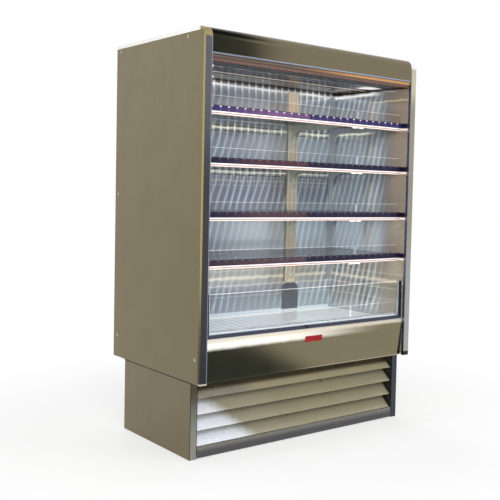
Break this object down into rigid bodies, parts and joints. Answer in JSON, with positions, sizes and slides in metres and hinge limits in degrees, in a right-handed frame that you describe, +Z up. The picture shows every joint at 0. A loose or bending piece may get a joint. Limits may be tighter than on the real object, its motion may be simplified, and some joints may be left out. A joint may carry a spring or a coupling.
{
  "type": "open multideck display fridge",
  "caption": "Upright open-front display fridge: curved-edge canopy, split shelves on slotted standards, lower deck behind low glass, and a louvered machine base.",
  "frame": {"origin": "centre of the footprint on the floor", "axes": "+Z up; -Y towards the open front, where the shopper stands; +X to the shopper's right"},
  "size_m": [1.295, 0.826, 1.905],
  "materials": {
    "brushed_stainless": "brushed stainless sheet",
    "mirror_stainless": "bright finished stainless sheet",
    "trim_stainless": "satin stainless trim",
    "galvanised": "galvanised sheet",
    "foam": "rigid foam",
    "aluminium": "satin",
    "dark_channel": "glossy dark plastic",
    "clear_acrylic": "clear",
    "clear_glass": "clear",
    "black_plastic": "matte",
    "red_plate": "glossy",
    "screw_steel": "bright",
    "bracket_steel": "light beige enamel",
    "black_enamel": "black enamel",
    "grey_enamel": "grey enamel"
  },
  "bodies": {
    "cabinet": {"side_skin_left": "brushed_stainless", "side_skin_right": "brushed_stainless", "end_trim_left": "trim_stainless", "end_trim_right": "trim_stainless", "panel_screws": "screw_steel", "outer_wrap": "galvanised", "insulated_tub": "foam", "liner_left": "mirror_stainless", "liner_right": "mirror_stainless", "duct_panel": "mirror_stainless", "shelf_standards": "bracket_steel", "canopy_fascia": "brushed_stainless", "canopy_lamp": "aluminium", "canopy_liner": "mirror_stainless", "discharge_grille": "aluminium", "return_grille": "mirror_stainless", "bumper_panel": "brushed_stainless", "glass_frame": "black_plastic", "badge_plate": "red_plate", "base_side_left": "brushed_stainless", "base_side_right": "brushed_stainless", "base_tray": "galvanised", "kick_plate": "trim_stainless", "condenser_coil": "aluminium", "condenser_shroud": "galvanised", "condenser_motor": "grey_enamel", "compressor": "black_enamel", "control_box": "grey_enamel", "evaporator_coil": "aluminium", "evaporator_motor": "galvanised"},
    "shelf_1": {"shelf_1_wide": "mirror_stainless", "shelf_1_narrow": "mirror_stainless", "shelf_1_channels": "dark_channel", "shelf_1_stops": "clear_acrylic", "shelf_1_brackets": "bracket_steel"},
    "shelf_2": {"shelf_2_wide": "mirror_stainless", "shelf_2_narrow": "mirror_stainless", "shelf_2_channels": "dark_channel", "shelf_2_stops": "clear_acrylic", "shelf_2_brackets": "bracket_steel"},
    "shelf_3": {"shelf_3_wide": "mirror_stainless", "shelf_3_narrow": "mirror_stainless", "shelf_3_channels": "dark_channel", "shelf_3_stops": "clear_acrylic", "shelf_3_brackets": "bracket_steel"},
    "shelf_4": {"shelf_4_wide": "mirror_stainless", "shelf_4_narrow": "mirror_stainless", "shelf_4_channels": "dark_channel", "shelf_4_stops": "clear_acrylic", "shelf_4_brackets": "bracket_steel"},
    "deck": {"deck_pan": "mirror_stainless", "deck_stop": "clear_acrylic"},
    "glass": {"front_glass": "clear_glass"},
    "louvers": {"louver_grille": "brushed_stainless"},
    "condenser_fan_wheel": {"condenser_fan": "aluminium"},
    "evaporator_fan_wheel": {"evaporator_fan": "aluminium"},
    "foot_front_left": {"foot_front_left": "black_plastic"},
    "foot_front_right": {"foot_front_right": "black_plastic"},
    "foot_rear_left": {"foot_rear_left": "black_plastic"},
    "foot_rear_right": {"foot_rear_right": "black_plastic"}
  },
  "joints": [
    {"name": "shelf_1_lift", "type": "slide", "parent": "cabinet", "child": "shelf_1", "axis": [0, 0, 1], "range_m": [0, 0.0044]},
    {"name": "shelf_2_lift", "type": "slide", "parent": "cabinet", "child": "shelf_2", "axis": [0, 0, 1], "range_m": [0, 0.0044]},
    {"name": "shelf_3_lift", "type": "slide", "parent": "cabinet", "child": "shelf_3", "axis": [0, 0, 1], "range_m": [0, 0.0044]},
    {"name": "shelf_4_lift", "type": "slide", "parent": "cabinet", "child": "shelf_4", "axis": [0, 0, 1], "range_m": [0, 0.0044]},
    {"name": "deck_lift", "type": "slide", "parent": "cabinet", "child": "deck", "axis": [0, 0, 1], "range_m": [0, 0.12]},
    {"name": "glass_lift", "type": "slide", "parent": "cabinet", "child": "glass", "axis": [0, 0, 1], "range_m": [0, 0.19]},
    {"name": "louver_pull", "type": "slide", "parent": "cabinet", "child": "louvers", "axis": [0, -1, 0], "range_m": [0, 0.25]},
    {"name": "condenser_fan_spin", "type": "hinge", "parent": "cabinet", "child": "condenser_fan_wheel", "pos_m": [-0.3175, -0.158, 0.166], "axis": [0, -1, 0], "continuous": true},
    {"name": "evaporator_fan_spin", "type": "hinge", "parent": "cabinet", "child": "evaporator_fan_wheel", "pos_m": [0, 0.012, 0.468], "axis": [0, -1, 0], "continuous": true},
    {"name": "foot_front_left_screw", "type": "slide", "parent": "cabinet", "child": "foot_front_left", "axis": [0, 0, -1], "range_m": [0, 0.015]},
    {"name": "foot_front_right_screw", "type": "slide", "parent": "cabinet", "child": "foot_front_right", "axis": [0, 0, -1], "range_m": [0, 0.015]},
    {"name": "foot_rear_left_screw", "type": "slide", "parent": "cabinet", "child": "foot_rear_left", "axis": [0, 0, -1], "range_m": [0, 0.015]},
    {"name": "foot_rear_right_screw", "type": "slide", "parent": "cabinet", "child": "foot_rear_right", "axis": [0, 0, -1], "range_m": [0, 0.015]}
  ]
}
